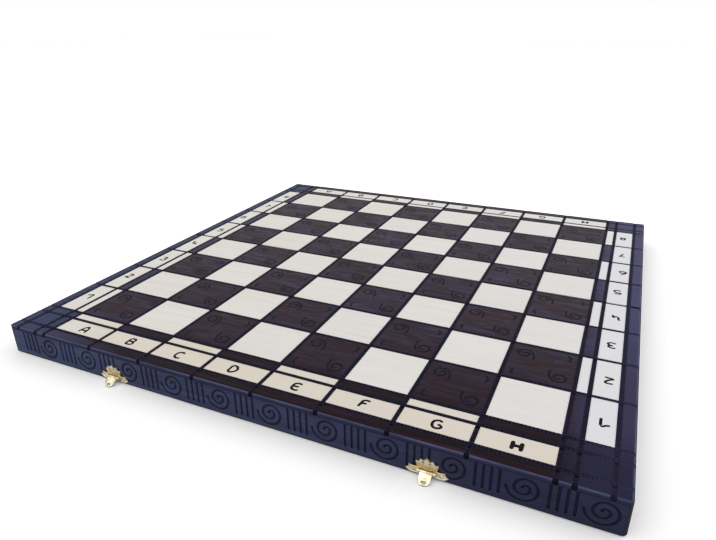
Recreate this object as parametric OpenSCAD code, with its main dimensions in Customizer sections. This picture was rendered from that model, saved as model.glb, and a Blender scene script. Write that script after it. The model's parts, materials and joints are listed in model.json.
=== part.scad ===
// Folding chess box, drawn open flat with the playing side up.
// X runs along the ranks, Y from the front half to the back half, Z up.
// The origin is on the table, under the middle of the fold.

/* [Board] */
// Pitch of the playing squares
square = 57.5; // [50:0.5:60]
// Width of the burnt grooves between the cells
groove_w = 3.8; // [2:0.1:5]
// Depth of the grooves, and thickness of the light inlaid cells
inlay_t = 0.8; // [0.5:0.1:1.2]
// Width of the narrow chequered band round the squares
band_w = 7.7; // [5:0.1:12]
// Width of the strip that holds the letters and numbers
label_w = 18.9; // [12:0.1:24]
// Width of the plain outer border
border_w = 9.9; // [8:0.1:18]

/* [Trays] */
// Height of one half, from its rim to the playing side
half_h = 28; // [26:0.5:36]
// Thickness of the playing panel
panel_t = 3.6; // [3:0.2:6]
// Thickness of the frame rails
rail_t = 9; // [8:0.5:12]
// Rounding of the panel's outer arris
arris_r = 2.4; // [1:0.2:3]
// Rounding of the frame's upright corners
corner_r = 4; // [0.5:0.25:5]
// Gap between the halves at the fold and at the rims
fold_gap = 0.3; // [0.2:0.1:0.6]
// Thickness of the felt lining
lining_t = 1; // [0.5:0.25:2]

/* [Inside] */
// Length of the compartment for the tall pieces
tall_room = 165; // [140:1:170]
// Thickness of the divider
divider_t = 5; // [4:0.5:8]
// Thickness of the notched rack
rack_t = 8; // [6:0.5:12]
// Distance from the hinge rail to the rack
rack_off = 54; // [40:1:80]
// Number of notches in a rack
notches = 8; // [6:1:8]
// Radius of a notch
notch_r = 17; // [12:0.5:18]
// How far the divider and the rack stay below the rim
inside_drop = 2; // [1:0.5:4]

/* [Hinges] */
// Distance of each hinge from the middle
hinge_x = 165; // [100:1:220]
// Length of a hinge
hinge_l = 36; // [25:1:60]
// Height of a leaf on the rail
leaf_h = 15; // [10:0.5:20]
// Thickness of a leaf
leaf_t = 0.8; // [0.6:0.1:1]
// Outer radius of the knuckles
knuckle_r = 1.25; // [1.2:0.05:2]
// Radius of the hinge pin
pin_r = 0.65; // [0.4:0.05:0.7]
// Knuckles on one hinge
knuckles = 5; // [3:2:7]
// Distance between the two screws of a leaf
screw_span = 24; // [12:1:26]
// Radius of a screw's shank
screw_r = 1.1; // [0.8:0.1:1.4]
// Length of a screw
screw_l = 7; // [4:0.5:7.5]
// Distance from the leaf's far edge to its screws
screw_edge = 5.7; // [4:0.1:6]
// Width of a screw's slot
screw_slot = 0.6; // [0.4:0.1:0.8]

/* [Latches] */
// Distance of each latch from the middle
latch_x = 146; // [80:1:220]
// Half width of the butterfly plate
plate_half = 16; // [15:0.5:20]
// Height of the latch plate
plate_h = 16.5; // [16:0.5:20]
// Thickness of the stamped plates
plate_t = 0.6; // [0.4:0.1:0.9]
// Height of the hasp's pin above the rim
hasp_up = 4.8; // [4.4:0.1:5.4]
// Radius of the hasp's knuckle
hasp_r = 1.1; // [1:0.05:1.4]
// Radius of the hasp's pin
hasp_pin_r = 0.5; // [0.3:0.05:0.6]
// Width of the hasp's tongue
tongue_w = 9; // [7:0.5:10]
// Length of the tongue from its pin
tongue_l = 9.6; // [9.2:0.1:10.4]
// Thickness of the tongue
tongue_t = 0.8; // [0.6:0.1:1]
// Distance from the pin to the slot in the tongue
slot_down = 7.2; // [6.9:0.1:7.4]
// Width of the slot in the tongue
slot_w = 4; // [3.4:0.1:4.6]
// Height of the slot in the tongue
slot_h = 2; // [1.8:0.1:2.2]
// Distance of the plate's nails from its middle
nail_x = 10.8; // [9.5:0.1:11.5]
// Radius of a nail's shank
nail_r = 0.5; // [0.4:0.05:0.6]
// Length of a nail
nail_l = 7; // [5:0.5:7.5]
// Radius of a nail's head
nail_head_r = 1.1; // [0.9:0.05:1.3]
// Height of a nail's domed head
nail_head_h = 0.5; // [0.3:0.1:0.7]
// How far the crown of the latch's domed fan stands off the wall
fan_rise = 2.2; // [1.6:0.1:2.4]
// Half width of the fan
fan_half = 9; // [8:0.1:9.6]
// Half width of the catch plate
catch_half = 12; // [11:0.5:16]
// Distance of the catch plate's nails from its middle
catch_nail_x = 8; // [7:0.1:9]

/* [Carving] */
// Distance between two spirals
spiral_pitch = 48.6; // [46:0.1:56]
// Sideways shift of the row of spirals on the long walls
spiral_shift = 17.5; // [0:0.5:20]
// Distance from the top of the rails to the middle of the carving
carve_drop = 10.4; // [10.2:0.1:10.8]
// Width of the carved grooves at the wall's face
carve_w = 2.2; // [1.4:0.1:2.6]
// Depth of the carved grooves
carve_d = 0.9; // [0.7:0.1:1.5]
// How much narrower a carved groove is on each side at its bottom
carve_bevel = 0.6; // [0.1:0.05:0.65]
// Half turns in one spiral
half_turns = 4; // [2:1:4]
// Radius of a spiral's innermost half turn
spiral_r = 2.6; // [2.4:0.1:2.8]
// How much a spiral's radius grows in half a turn
spiral_step = 2.6; // [2.3:0.1:2.7]
// Number of upright grooves between two spirals
bars = 4; // [2:1:4]
// Distance between two upright grooves
bar_pitch = 5.4; // [4:0.1:5.6]
// Height of an upright groove
bar_h = 20; // [12:0.5:20]

/* [Clearances] */
// Radial clearance of a pin in its knuckles, and of a screw or nail in its hole
pin_clear = 0.05; // [0.03:0.01:0.1]
// Gap between pieces that move past each other
move_gap = 0.3; // [0.2:0.05:0.4]
// Gap round what is let into the wood or laid in the tray
let_in = 0.2; // [0.1:0.05:0.4]

/* [Hidden] */
$fn = 48;
eps = 0.01;
// How far a cutting shape runs past the face that it opens
over = 1;
files = 8;
ranks = files / 2;

// Heights: the hinge axis lies half a gap outside the rims, so the halves close rim to rim
axis_z = knuckle_r;
rim_z = axis_z + fold_gap / 2;
top_z = rim_z + half_h;
frame_top = top_z - panel_t;
lining_z = frame_top - lining_t;
face_y = fold_gap / 2;

// Middles of the grooves, from the fold outwards, and the outer edge
band_line = ranks * square;
label_line = band_line + band_w + groove_w;
border_line = label_line + label_w + groove_w;
half_l = border_line + groove_w / 2 + border_w;
inner_l = half_l - rail_t;
lines = concat([for (i = [0 : ranks - 1]) i * square], [band_line, label_line, border_line]);
cells = len(lines);
band_cell = ranks;
label_cell = ranks + 1;

// Where the inside pieces stand, as distances from the fold
room_y = face_y + rail_t;
rack_y = room_y + rack_off;
divider_y = room_y + tall_room;
inside_z = rim_z + inside_drop;

// The latch: its pin, the tongue's tilt at rest, and the nib that it closes over
pin_out = plate_t + move_gap + hasp_r;
pin_z = rim_z + hasp_up;
hasp_tilt = acos((pin_z - tongue_t / 2) / tongue_l);
ear_x = tongue_w / 2 + move_gap;
ear_l = 2.2;
fan_foot = hasp_up + hasp_r + move_gap;
fan_mid = (fan_foot + plate_h) / 2;
fan_ball = (pow(fan_half, 2) + pow(fan_rise, 2)) / (2 * fan_rise);
// The lip at the tongue's end, for a finger nail
lip_r = 0.5;
lip_l = 4;
nib_up = slot_down - hasp_up - fold_gap;
nib_gap = 0.4;
nib_out = pin_out + tongue_t / 2 + 0.8;
nail_up = 3.6;
catch_h = 9;
catch_nail_up = 5.4;
screw_up = leaf_h - screw_edge;
pin_head_r = hasp_pin_r + 0.3;
pin_head_l = 0.4;
carve_z = frame_top - carve_drop;

wood_dark = [0.10, 0.09, 0.13];
wood_light = [0.86, 0.80, 0.68];
inner_wood = [0.72, 0.56, 0.38];
felt = [0.10, 0.32, 0.18];
brass = [0.80, 0.72, 0.48];
steel = [0.70, 0.70, 0.72];

// One cell's two ends along an axis. Cell 0 lies beside the middle line, cell -1 on its other side
function cell_lo(c) = lines[c] + groove_w / 2;
function cell_hi(c) = c < cells - 1 ? lines[c + 1] - groove_w / 2 : half_l;
function cell(k) = k >= 0 ? [cell_lo(k), cell_hi(k)] : [-cell_hi(-1 - k), -cell_lo(-1 - k)];

// How far out a cell lies, whichever side of the middle it is on
function out(k) = k >= 0 ? k : -1 - k;
function odd(n) = abs(n) % 2 == 1;
function nearest(k) = k >= 0 ? min(k, ranks - 1) : max(k, -ranks);

// What a cell is: a light square, a light piece of the band, a light label, or left dark
function kind(c, r) =
  max(out(c), out(r)) < ranks ? (odd(c + r) ? "square" : "dark") :
  min(out(c), out(r)) >= ranks ? "dark" :
  max(out(c), out(r)) == band_cell ? (odd(nearest(c) + nearest(r)) ? "dark" : "band") :
  max(out(c), out(r)) == label_cell ? "label" : "dark";

// The rows of the front half, or of the back half
function rows(side) = side < 0 ? [-cells : -1] : [0 : cells - 1];

// All the cells of one kind in one half, as flat shapes
module cells_2d(side, what) {
  for (c = [-cells : cells - 1], r = rows(side))
    if (kind(c, r) == what)
      translate([cell(c)[0], cell(r)[0]])
        square([cell(c)[1] - cell(c)[0], cell(r)[1] - cell(r)[0]]);
}

module inlay(side, what)
  color(wood_light)
    translate([0, 0, top_z - inlay_t])
      linear_extrude(inlay_t) cells_2d(side, what);

// Puts the children in the front half, or mirrors them into the back half
module on_side(side)
  if (side < 0) children();
  else mirror([0, 1, 0]) children();

// The front half's outline seen from above, with its two outer corners rounded
module half_outline() {
  translate([-half_l, corner_r - half_l]) square([2 * half_l, half_l - corner_r - face_y]);
  translate([corner_r - half_l, -half_l]) square([2 * (half_l - corner_r), 2 * corner_r]);
  for (x = [-1, 1])
    translate([x * (half_l - corner_r), corner_r - half_l]) circle(corner_r);
}

// Cuts the top arris of an edge that runs along X at y = -half_l
module arris_cut(len)
  translate([-len / 2, -half_l, top_z - arris_r])
    difference() {
      translate([-eps, -over, 0]) cube([len + 2 * eps, over + arris_r, arris_r + over]);
      translate([-over, arris_r, 0]) rotate([0, 90, 0]) cylinder(r = arris_r, h = len + 2 * over);
    }

module panel(side)
  color(wood_dark)
    difference() {
      union() {
        on_side(side)
          translate([0, 0, frame_top])
            linear_extrude(panel_t - inlay_t) half_outline();
        translate([0, 0, top_z - inlay_t])
          linear_extrude(inlay_t)
            intersection() {
              cells_2d(side, "dark");
              on_side(side) half_outline();
            }
      }
      on_side(side) arris_cut(2 * (half_l + over));
      for (x = [-1, 1]) rotate([0, 0, 90 * x]) arris_cut(2 * (half_l + over));
    }

// A rail's outline from above: mitred at both ends, l long on its outer side
module mitred(l, t)
  polygon([[-l / 2, 0], [l / 2, 0], [l / 2 - t, t], [t - l / 2, t]]);

module rail_body(l) linear_extrude(frame_top - rim_z) mitred(l, rail_t);

// The section of a carved groove, from its bottom up through the wall's face, with sloping sides
module carve_section() {
  low = carve_w / 2 - carve_bevel;
  high = carve_w / 2 + carve_bevel * over / carve_d;
  polygon([[-low, 0], [low, 0], [high, carve_d + over], [-high, carve_d + over]]);
}

// One carved spiral in the plane of the wall, as half rings that change centre each half turn
module spiral()
  for (i = [0 : half_turns - 1])
    translate([odd(i) ? -spiral_step / 2 : spiral_step / 2, 0, -carve_d])
      rotate([0, 0, odd(i) ? 180 : 0])
        rotate_extrude(angle = 180)
          translate([spiral_r + i * spiral_step, 0]) carve_section();

// A group of upright grooves in the plane of the wall
module bar_group()
  for (i = [0 : bars - 1])
    translate([(i - (bars - 1) / 2) * bar_pitch, bar_h / 2, -carve_d])
      rotate([90, 0, 0]) linear_extrude(bar_h) carve_section();

// A row of spirals and upright grooves on the wall at y = 0, between x = from and x = to.
// A rail's thickness stays plain at each end
module carved_row(from, to, shift) {
  most = ceil(half_l / spiral_pitch) + 1;
  for (n = [-most : most]) {
    x = shift + n * spiral_pitch;
    b = x - spiral_pitch / 2;
    if (x > from + rail_t && x < to - rail_t)
      translate([x, 0, carve_z]) rotate([90, 0, 0]) spiral();
    if (b > from + rail_t && b < to - rail_t)
      translate([b, 0, carve_z]) rotate([90, 0, 0]) bar_group();
  }
}

// The front half's outer rail with its carving
module outer_rail_wood()
  difference() {
    translate([0, -half_l, rim_z])
      intersection() {
        rail_body(2 * half_l);
        translate([0, half_l, -eps]) linear_extrude(half_h) half_outline();
      }
    translate([0, -half_l, 0]) carved_row(-half_l, half_l, spiral_shift);
  }

module outer_rail(side, nail_xs, nail_z)
  color(wood_dark)
    difference() {
      on_side(side) outer_rail_wood();
      on_side(side)
        for (x = nail_xs)
          translate([x, -half_l, rim_z + nail_z]) rotate([-90, 0, 0]) nail_hole();
    }

// A side rail runs from the outer corner to the fold
module side_rail(side, end)
  color(wood_dark)
    on_side(side)
      on_end(end)
        difference() {
          intersection() {
            translate([-half_l, -(half_l + face_y) / 2, rim_z])
              rotate([0, 0, -90]) rail_body(half_l - face_y);
            translate([0, 0, rim_z - eps]) linear_extrude(half_h) half_outline();
          }
          translate([-half_l, 0, 0]) rotate([0, 0, -90])
            carved_row(face_y, half_l, spiral_pitch / 2);
        }

// The left side's shape, or its mirror image on the right
module on_end(end)
  if (end < 0) children();
  else mirror([1, 0, 0]) children();

module hinge_rail(side)
  color(wood_dark)
    on_side(side)
      difference() {
        translate([0, -face_y, rim_z]) rotate([0, 0, 180]) rail_body(2 * half_l);
        for (x = [-hinge_x, hinge_x]) translate([x, 0, 0]) hinge_seat();
      }

// What a hinge takes out of the rail: the leaf's bed, room for the knuckles, and the screw holes
module hinge_seat() {
  translate([-hinge_l / 2 - let_in, -face_y - leaf_t, rim_z - over])
    cube([hinge_l + 2 * let_in, leaf_t + over, leaf_h + let_in + over]);
  translate([-hinge_l / 2 - move_gap, 0, axis_z])
    rotate([0, 90, 0]) cylinder(r = knuckle_r + move_gap, h = hinge_l + 2 * move_gap);
  for (x = [-screw_span / 2, screw_span / 2])
    translate([x, -face_y, rim_z + screw_up])
      rotate([90, 0, 0]) cylinder(r = screw_r + pin_clear, h = screw_l + pin_clear);
}

module lining(side)
  color(felt)
    on_side(side)
      translate([let_in - inner_l, let_in - inner_l, lining_z])
        cube([2 * (inner_l - let_in), inner_l - room_y - 2 * let_in, lining_t]);

module divider(side)
  color(inner_wood)
    on_side(side)
      translate([-inner_l, -divider_y - divider_t, inside_z])
        cube([2 * inner_l, divider_t, lining_z - inside_z]);

module rack(side)
  color(inner_wood)
    on_side(side)
      difference() {
        translate([-inner_l, -rack_y - rack_t, inside_z])
          cube([2 * inner_l, rack_t, lining_z - inside_z]);
        for (i = [0 : notches - 1])
          translate([(i + 0.5) * 2 * inner_l / notches - inner_l, over - rack_y, inside_z])
            rotate([90, 0, 0]) cylinder(r = notch_r, h = rack_t + 2 * over);
      }

// Knuckles first, first + 2 and so on of one hinge, each grown by g all round
module knuckle_row(first, g) {
  step = hinge_l / knuckles;
  for (i = [first : 2 : knuckles - 1])
    translate([i * step - hinge_l / 2 + move_gap / 2 - g, 0, axis_z])
      rotate([0, 90, 0]) cylinder(r = knuckle_r + g, h = step - move_gap + 2 * g);
}

module leaf(side, x, first)
  color(brass)
    translate([x, 0, 0])
      on_side(side)
        difference() {
          union() {
            translate([-hinge_l / 2, -face_y - leaf_t, axis_z])
              cube([hinge_l, leaf_t, rim_z + leaf_h - axis_z]);
            knuckle_row(first, 0);
          }
          knuckle_row(1 - first, move_gap);
          translate([-hinge_l / 2 - over, 0, axis_z])
            rotate([0, 90, 0]) cylinder(r = pin_r + pin_clear, h = hinge_l + 2 * over);
          for (s = [-screw_span / 2, screw_span / 2])
            translate([s, -face_y, rim_z + screw_up])
              rotate([90, 0, 0]) countersunk(screw_r + pin_clear, leaf_t);
        }

// A countersunk hole or head: wide at the face, r at the back of the leaf
module countersunk(r, t) cylinder(r1 = r + t, r2 = r, h = t);

module hinge_pin(x)
  color(steel)
    translate([x - hinge_l / 2, 0, axis_z])
      rotate([0, 90, 0]) cylinder(r = pin_r, h = hinge_l);

module hinge_screws(side)
  color(steel)
    on_side(side)
      for (x = [-hinge_x, hinge_x], s = [-screw_span / 2, screw_span / 2])
        translate([x + s, -face_y, rim_z + screw_up])
          rotate([90, 0, 0]) screw();

// A countersunk screw, with its slot in the head's face
module screw()
  difference() {
    union() {
      countersunk(screw_r, leaf_t);
      cylinder(r = screw_r, h = screw_l);
    }
    translate([-screw_r - leaf_t, -screw_slot / 2, -over])
      cube([2 * (screw_r + leaf_t), screw_slot, over + leaf_t / 2]);
  }

module nail_hole() translate([0, 0, -eps]) cylinder(r = nail_r + pin_clear, h = nail_l - plate_t + let_in);

// A nail that holds a plate on the wall: its low domed head lies on the plate
module nail() {
  ball = (pow(nail_head_r, 2) + pow(nail_head_h, 2)) / (2 * nail_head_h);
  translate([0, 0, -plate_t]) {
    cylinder(r = nail_r, h = nail_l);
    intersection() {
      translate([0, 0, ball - nail_head_h]) sphere(ball);
      translate([0, 0, -nail_head_h]) cylinder(r = nail_head_r, h = nail_head_h);
    }
  }
}

module nails(side, xs, z)
  color(brass)
    on_side(side)
      for (x = xs) translate([x, -half_l, rim_z + z]) rotate([-90, 0, 0]) nail();

// One wing of the latch plate, up to the foot of the fan
module wing_outline() {
  w = plate_half;
  polygon([
    [0, 0.4], [nail_x + 1.6, 0.4], [w - 2.2, 1.4], [w, 3.2], [w - 2.3, 4.7],
    [w - 2.7, 7.4], [nail_x + 0.4, 6.3], [nail_x - 3.2, 6.5], [0, fan_foot + 0.5]
  ]);
}

// Half of the pointed fan
module fan_outline() {
  h = plate_h;
  polygon([
    [0, fan_foot], [nail_x - 3.4, fan_foot], [nail_x - 3, h - 7.9], [fan_half - 0.4, h - 4.9],
    [fan_half - 2.8, h - 4.6], [fan_half - 4.4, h - 1.8], [fan_half - 6.6, h - 2.6], [0, h]
  ]);
}

// The two three-cornered holes beside the fan's middle
module piercing()
  for (x = [-1, 1])
    polygon([[x * 1.1, plate_h - 3.9], [x * 3.9, plate_h - 4.1], [x * 2.6, plate_h - 3]]);

module mirrored()
  for (x = [0, 1]) mirror([x, 0]) children();

module latch_outline()
  difference() {
    mirrored() {
      wing_outline();
      fan_outline();
    }
    for (x = [-1, 1]) translate([x * nail_x, nail_up]) circle(nail_r + pin_clear);
    piercing();
  }

// The fan is stamped into a low dome
module fan_dome()
  intersection() {
    linear_extrude(fan_rise)
      difference() {
        mirrored() fan_outline();
        piercing();
      }
    translate([0, fan_mid, fan_rise - fan_ball]) sphere(fan_ball, $fn = 96);
  }

// The ears that the hasp's pin passes through stand on the plate
module ears()
  for (x = [-ear_x - ear_l, ear_x])
    translate([x, 0, hasp_up]) {
      translate([0, -pin_out, 0]) rotate([0, 90, 0]) cylinder(r = hasp_r, h = ear_l);
      translate([0, -pin_out, 0]) cube([ear_l, pin_out - plate_t / 2, hasp_r]);
    }

module latch_plate(x)
  color(brass)
    translate([x, -half_l, rim_z])
      difference() {
        union() {
          rotate([90, 0, 0]) {
            linear_extrude(plate_t) latch_outline();
            fan_dome();
          }
          ears();
        }
        translate([-plate_half, -pin_out, hasp_up])
          rotate([0, 90, 0]) cylinder(r = hasp_pin_r + pin_clear, h = 2 * plate_half);
      }

module latch_pin(x)
  color(steel)
    translate([x, -half_l - pin_out, pin_z])
      rotate([0, 90, 0]) {
        translate([0, 0, -ear_x - ear_l]) cylinder(r = hasp_pin_r, h = 2 * (ear_x + ear_l));
        for (s = [-1, 1])
          translate([0, 0, s * (ear_x + ear_l + pin_head_l / 2) - pin_head_l / 2])
            cylinder(r = pin_head_r, h = pin_head_l);
      }

// A slot or nib outline with round ends
module slot_2d(w, h) {
  translate([(h - w) / 2, -h / 2]) square([w - h, h]);
  for (x = [-1, 1]) translate([x * (w - h) / 2, 0]) circle(h / 2);
}

// The hasp hangs from its pin at the origin, before it is tilted
module hasp_shape()
  difference() {
    union() {
      rotate([0, 90, 0]) translate([0, 0, -tongue_w / 2]) cylinder(r = hasp_r, h = tongue_w);
      translate([0, tongue_t / 2, 0]) rotate([90, 0, 0]) linear_extrude(tongue_t) {
        translate([-tongue_w / 2, tongue_w / 2 - tongue_l]) square([tongue_w, tongue_l - tongue_w / 2]);
        translate([0, tongue_w / 2 - tongue_l]) circle(tongue_w / 2);
      }
      translate([-lip_l / 2, -tongue_t / 2, lip_r - tongue_l])
        rotate([0, 90, 0]) cylinder(r = lip_r, h = lip_l);
    }
    rotate([0, 90, 0]) translate([0, 0, -tongue_w]) cylinder(r = hasp_pin_r + pin_clear, h = 2 * tongue_w);
    translate([0, tongue_t, -slot_down]) rotate([90, 0, 0])
      linear_extrude(2 * tongue_t) slot_2d(slot_w, slot_h);
  }

module hasp(x)
  color(brass)
    translate([x, -half_l - pin_out, pin_z]) rotate([-hasp_tilt, 0, 0]) hasp_shape();

module catch_outline() {
  w = catch_half;
  mirrored()
    polygon([
      [0, 0.4], [w - 2, 0.4], [w, 3.4], [w - 2, 4.6], [w - 1.6, 7.2],
      [5.4, 6.8], [3.6, catch_h - 0.6], [1.6, catch_h - 1], [0, catch_h]
    ]);
}

// The back half's catch plate with the nib that the hasp's slot drops over
module catch_plate(x)
  color(brass)
    on_side(1)
      translate([x, -half_l, rim_z])
        rotate([90, 0, 0]) {
          difference() {
            linear_extrude(plate_t) catch_outline();
            for (s = [-1, 1])
              translate([s * catch_nail_x, catch_nail_up, -over])
                cylinder(r = nail_r + pin_clear, h = plate_t + 2 * over);
          }
          translate([0, nib_up, plate_t / 2])
            linear_extrude(nib_out - plate_t / 2)
              slot_2d(slot_w - 2 * nib_gap, slot_h - 2 * nib_gap);
        }

latch_nail_xs = [for (x = [-latch_x, latch_x], s = [-nail_x, nail_x]) x + s];
catch_nail_xs = [for (x = [-latch_x, latch_x], s = [-catch_nail_x, catch_nail_x]) x + s];

panel(-1);  // front_panel
outer_rail(-1, latch_nail_xs, nail_up);  // front_outer_rail
side_rail(-1, -1);  // front_left_rail
side_rail(-1, 1);  // front_right_rail
hinge_rail(-1);  // front_hinge_rail
inlay(-1, "square");  // front_light_squares
inlay(-1, "band");  // front_band_inlay
inlay(-1, "label");  // front_label_inlay
lining(-1);  // front_lining
divider(-1);  // front_divider
rack(-1);  // front_rack
panel(1);  // back_panel
outer_rail(1, catch_nail_xs, catch_nail_up);  // back_outer_rail
side_rail(1, -1);  // back_left_rail
side_rail(1, 1);  // back_right_rail
hinge_rail(1);  // back_hinge_rail
inlay(1, "square");  // back_light_squares
inlay(1, "band");  // back_band_inlay
inlay(1, "label");  // back_label_inlay
lining(1);  // back_lining
divider(1);  // back_divider
rack(1);  // back_rack
leaf(-1, -hinge_x, 0);  // left_hinge_front_leaf
leaf(-1, hinge_x, 0);  // right_hinge_front_leaf
leaf(1, -hinge_x, 1);  // left_hinge_back_leaf
leaf(1, hinge_x, 1);  // right_hinge_back_leaf
hinge_pin(-hinge_x);  // left_hinge_pin
hinge_pin(hinge_x);  // right_hinge_pin
hinge_screws(-1);  // front_hinge_screws
hinge_screws(1);  // back_hinge_screws
latch_plate(-latch_x);  // left_latch_plate
latch_plate(latch_x);  // right_latch_plate
latch_pin(-latch_x);  // left_latch_pin
latch_pin(latch_x);  // right_latch_pin
hasp(-latch_x);  // left_hasp
hasp(latch_x);  // right_hasp
nails(-1, latch_nail_xs, nail_up);  // latch_nails
catch_plate(-latch_x);  // left_catch_plate
catch_plate(latch_x);  // right_catch_plate
nails(1, catch_nail_xs, catch_nail_up);  // catch_nails
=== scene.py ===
"""Looks for the folding chess box: finishes, burnt lines, felt, latch veins, floor, light and camera."""

import json
import math
import random

import bpy
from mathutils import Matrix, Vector

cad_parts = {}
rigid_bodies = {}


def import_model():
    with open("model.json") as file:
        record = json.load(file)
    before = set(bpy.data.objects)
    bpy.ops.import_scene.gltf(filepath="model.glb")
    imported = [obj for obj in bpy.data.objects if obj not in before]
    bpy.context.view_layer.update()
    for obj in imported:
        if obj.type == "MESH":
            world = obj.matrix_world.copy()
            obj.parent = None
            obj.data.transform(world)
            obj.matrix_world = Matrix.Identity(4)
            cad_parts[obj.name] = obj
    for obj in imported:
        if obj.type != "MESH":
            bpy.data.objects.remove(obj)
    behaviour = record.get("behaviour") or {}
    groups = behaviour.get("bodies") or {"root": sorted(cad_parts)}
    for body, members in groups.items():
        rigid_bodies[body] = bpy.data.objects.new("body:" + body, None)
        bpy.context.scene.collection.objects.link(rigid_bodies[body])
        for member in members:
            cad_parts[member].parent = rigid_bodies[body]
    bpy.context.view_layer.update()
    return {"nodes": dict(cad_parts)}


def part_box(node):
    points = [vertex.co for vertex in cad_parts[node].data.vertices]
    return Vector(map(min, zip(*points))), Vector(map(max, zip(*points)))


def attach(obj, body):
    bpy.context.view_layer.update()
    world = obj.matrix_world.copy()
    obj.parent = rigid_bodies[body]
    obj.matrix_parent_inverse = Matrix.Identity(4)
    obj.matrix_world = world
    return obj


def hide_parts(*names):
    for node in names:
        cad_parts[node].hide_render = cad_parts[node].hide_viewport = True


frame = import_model()
nodes = frame["nodes"]

# Sizes, in millimetres, named as in the part's source
MM = 0.001
SQUARE = 57.5
RANKS = 4
GROOVE_W = 3.8
INLAY_T = 0.8
BAND_W = 7.7
LABEL_W = 18.9
BORDER_W = 9.9
ARRIS_R = 2.4
RAIL_T = 9.0
FACE_Y = 0.15
RIM_Z = 1.4
HALF_H = 28.0
PANEL_T = 3.6
TOP_Z = RIM_Z + HALF_H
FRAME_TOP = TOP_Z - PANEL_T
BAND_LINE = RANKS * SQUARE
LABEL_LINE = BAND_LINE + BAND_W + GROOVE_W
BORDER_LINE = LABEL_LINE + LABEL_W + GROOVE_W
HALF_L = BORDER_LINE + GROOVE_W / 2 + BORDER_W
OUTER_LINES = (SQUARE, 2 * SQUARE, 3 * SQUARE, BAND_LINE, LABEL_LINE, BORDER_LINE)

SIDES = (("front", -1), ("back", 1))


# Places, in millimetres from the board's middle or over the table, where a finish, or the light and shade
# painted on it, changes colour
BLUE_SHEEN_STARTS = -130    # x where painted bluish sheen begins over the front border's maroon, leftward
BLUE_SHEEN_FULL = -235      # x where that painted sheen is full
SIDE_SHEEN_GROWS = -150     # y from which the painted sheen on the side borders grows paler, backward
WARM_LIGHT_STARTS = -215   # x where painted warm light on the front strip begins, rightward
WARM_LIGHT_FULL = -175     # x where that painted warm light is full
WALL_BLUER = -60      # x from which the walls grow bluer, leftward
WALL_DARKER = -40     # x from which they grow darker, rightward
GOLD_SHADE_HEIGHTS = (6.5, 8, 11, 14.5)    # heights between which a latch's fan has painted gold-brown shade, fading in and out


# Finishes
def tone(red, green, blue):
    """A colour as a picture shows it, 0 to 255, turned into the linear one that the shader takes."""
    def linear(c):
        c /= 255
        return c / 12.92 if c <= 0.04045 else ((c + 0.055) / 1.055) ** 2.4
    return (linear(red), linear(green), linear(blue), 1.0)


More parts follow.
